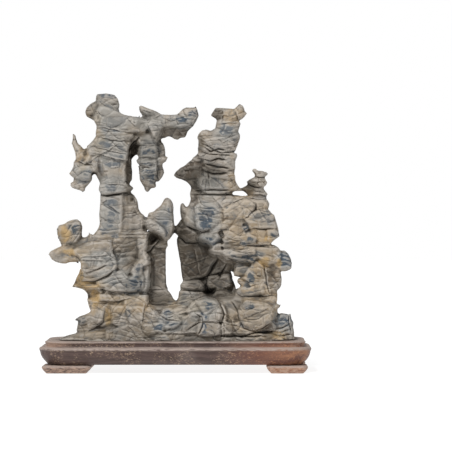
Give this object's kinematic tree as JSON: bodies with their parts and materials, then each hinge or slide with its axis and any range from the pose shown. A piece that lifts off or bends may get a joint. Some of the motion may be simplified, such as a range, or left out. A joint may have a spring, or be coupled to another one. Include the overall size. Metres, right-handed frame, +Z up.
{
  "type": "scholars rock on wooden stand",
  "caption": "Weathered grey stone with two ledged towers, a hanging lobe and openings, resting in the socket of a low two-tier wooden stand with pad feet.",
  "frame": {"origin": "on the surface that the feet stand on, under the middle of the stand", "axes": "+Z up, +X to the viewer's right along the stand, +Y away from the viewer"},
  "size_m": [0.1182, 0.052, 0.1224],
  "materials": {
    "stone": "matt weathered grey-beige limestone with slate-blue patches and ochre stains",
    "stand_wood": "satin dark reddish-brown wood, worn and dusty at the edges",
    "foot_wood": "satin dark reddish-brown wood, worn at the edges"
  },
  "bodies": {
    "root": {"rock": "stone", "stand_body": "stand_wood", "foot_front_left": "foot_wood", "foot_front_right": "foot_wood", "foot_back_left": "foot_wood", "foot_back_right": "foot_wood"}
  },
  "joints": []
}
